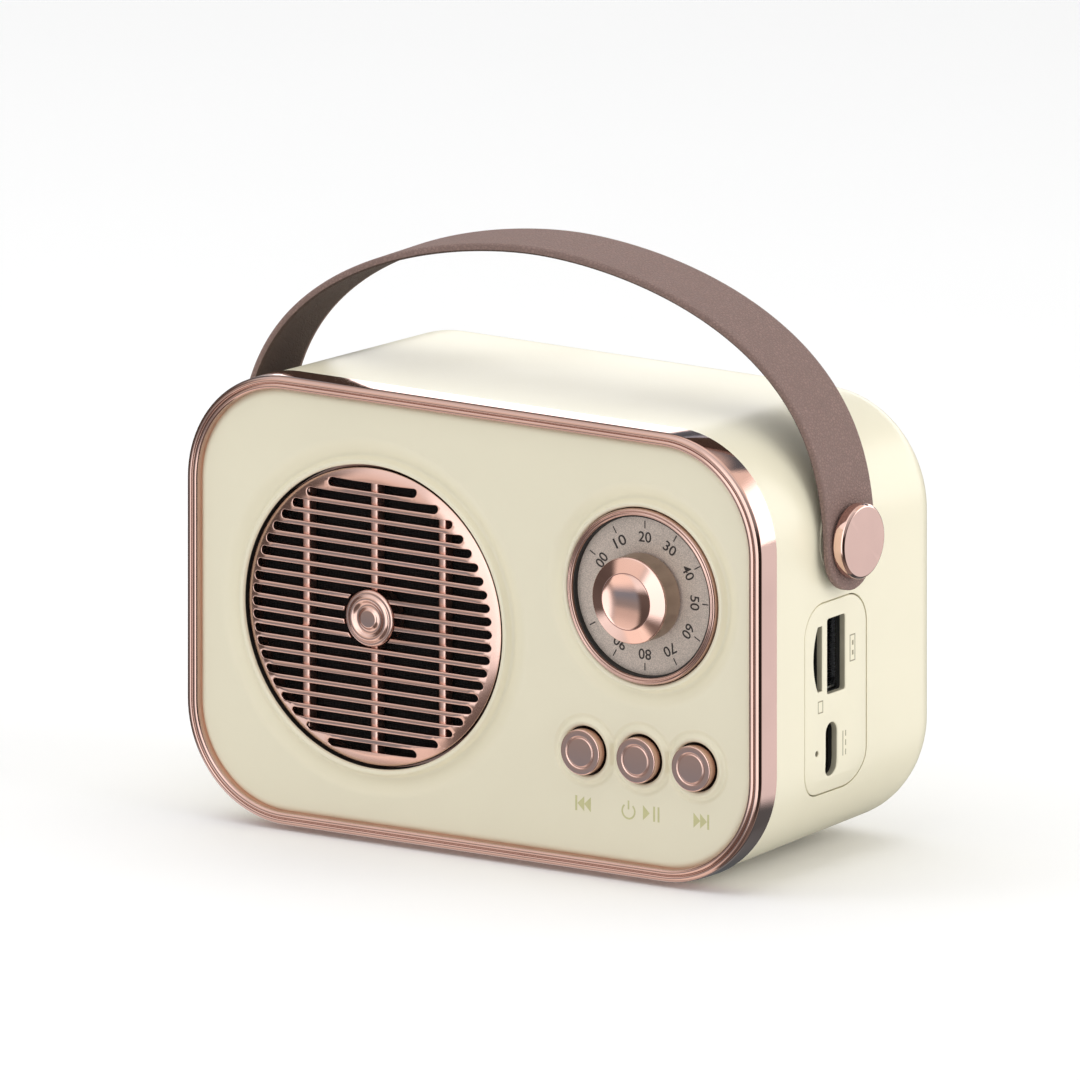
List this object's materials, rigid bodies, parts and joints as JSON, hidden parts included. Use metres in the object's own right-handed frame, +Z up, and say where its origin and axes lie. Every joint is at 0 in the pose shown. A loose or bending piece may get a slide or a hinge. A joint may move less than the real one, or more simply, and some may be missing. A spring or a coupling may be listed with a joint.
{
  "type": "portable radio",
  "caption": "Portable radio and wireless speaker: tapered cream case, rose-gold trim ring and slotted round grille, dial knob, push buttons, side ports and an arched leather strap.",
  "frame": {"origin": "on the ground under the middle of the overall box, feet on z = 0", "axes": "+X to the right as the listener sees the front, -Y towards the listener, +Z up"},
  "size_m": [0.1396, 0.0692, 0.1142],
  "materials": {
    "cream_plastic": "satin moulded cream plastic",
    "rose_gold": "polished rose-gold plating",
    "strap_leather": "fine-grained taupe leather",
    "dial_face": "pearl grey-pink printed scale",
    "black_rubber": "matt black rubber",
    "screen_cloth": "fine woven screen",
    "paper_cone": "pressed pulp",
    "copper_winding": "enamelled copper",
    "plated_steel": "zinc-plated",
    "ferrite": "sintered, matt",
    "brass": "turned brass",
    "circuit_board": "solder-masked laminate",
    "black_plastic": "matt moulded black",
    "white_plastic": "milky plastic",
    "battery_wrap": "shrink-wrapped cell",
    "wire_insulation": "smooth insulation"
  },
  "bodies": {
    "case": {"front_bezel": "rose_gold", "front_panel": "cream_plastic", "rear_shell": "cream_plastic", "port_plate": "cream_plastic", "rubber_feet": "black_rubber", "case_screws": "plated_steel", "speaker_grille": "rose_gold", "grille_boss": "rose_gold", "dust_screen": "screen_cloth", "speaker_gasket": "black_rubber", "speaker_frame": "plated_steel", "cone_surround": "black_rubber", "spider": "screen_cloth", "top_plate": "plated_steel", "magnet": "ferrite", "yoke": "plated_steel", "terminal_strip": "circuit_board", "speaker_screws": "plated_steel", "dial_ring": "rose_gold", "dial_plate": "dial_face", "potentiometer": "plated_steel", "previous_switch": "black_plastic", "play_switch": "black_plastic", "next_switch": "black_plastic", "control_board": "circuit_board", "board_standoffs": "brass", "main_board": "circuit_board", "board_screws": "plated_steel", "amplifier_chip": "black_plastic", "radio_module": "circuit_board", "capacitors": "black_plastic", "usb_shell": "plated_steel", "usb_tongue": "black_plastic", "charge_shell": "plated_steel", "charge_tongue": "black_plastic", "card_socket": "plated_steel", "charge_light": "white_plastic", "battery_cell": "battery_wrap", "battery_holder": "black_plastic", "battery_leads": "wire_insulation", "speaker_leads": "wire_insulation", "antenna_wire": "wire_insulation", "left_stud": "rose_gold", "right_stud": "rose_gold", "strap_washers": "black_rubber", "stud_nuts": "plated_steel"},
    "strap": {"handle_strap": "strap_leather"},
    "knob": {"volume_knob": "rose_gold", "knob_dish": "rose_gold", "control_shaft": "plated_steel"},
    "previous_key": {"previous_button": "rose_gold", "previous_plunger": "white_plastic"},
    "play_key": {"play_button": "rose_gold", "play_plunger": "white_plastic"},
    "next_key": {"next_button": "rose_gold", "next_plunger": "white_plastic"},
    "cone": {"speaker_cone": "paper_cone", "dust_cap": "paper_cone", "voice_coil": "copper_winding"}
  },
  "joints": [
    {"name": "strap_swing", "type": "hinge", "parent": "case", "child": "strap", "pos_m": [0, -0.00158, 0.06475], "axis": [1, 0, 0], "range_deg": [-35, 25]},
    {"name": "knob_turn", "type": "hinge", "parent": "case", "child": "knob", "pos_m": [0.038, -0.02987, 0.05535], "axis": [0, 1, 0], "range_deg": [-150, 150]},
    {"name": "previous_press", "type": "slide", "parent": "case", "child": "previous_key", "axis": [0, 1, 0], "range_m": [0, 0.0008], "stiffness_N_per_m": 1200},
    {"name": "play_press", "type": "slide", "parent": "case", "child": "play_key", "axis": [0, 1, 0], "range_m": [0, 0.0008], "stiffness_N_per_m": 1200},
    {"name": "next_press", "type": "slide", "parent": "case", "child": "next_key", "axis": [0, 1, 0], "range_m": [0, 0.0008], "stiffness_N_per_m": 1200},
    {"name": "cone_travel", "type": "slide", "parent": "case", "child": "cone", "axis": [0, 1, 0], "range_m": [-0.0008, 0.0008], "stiffness_N_per_m": 1500, "deforming": ["cone_surround", "spider"]}
  ]
}
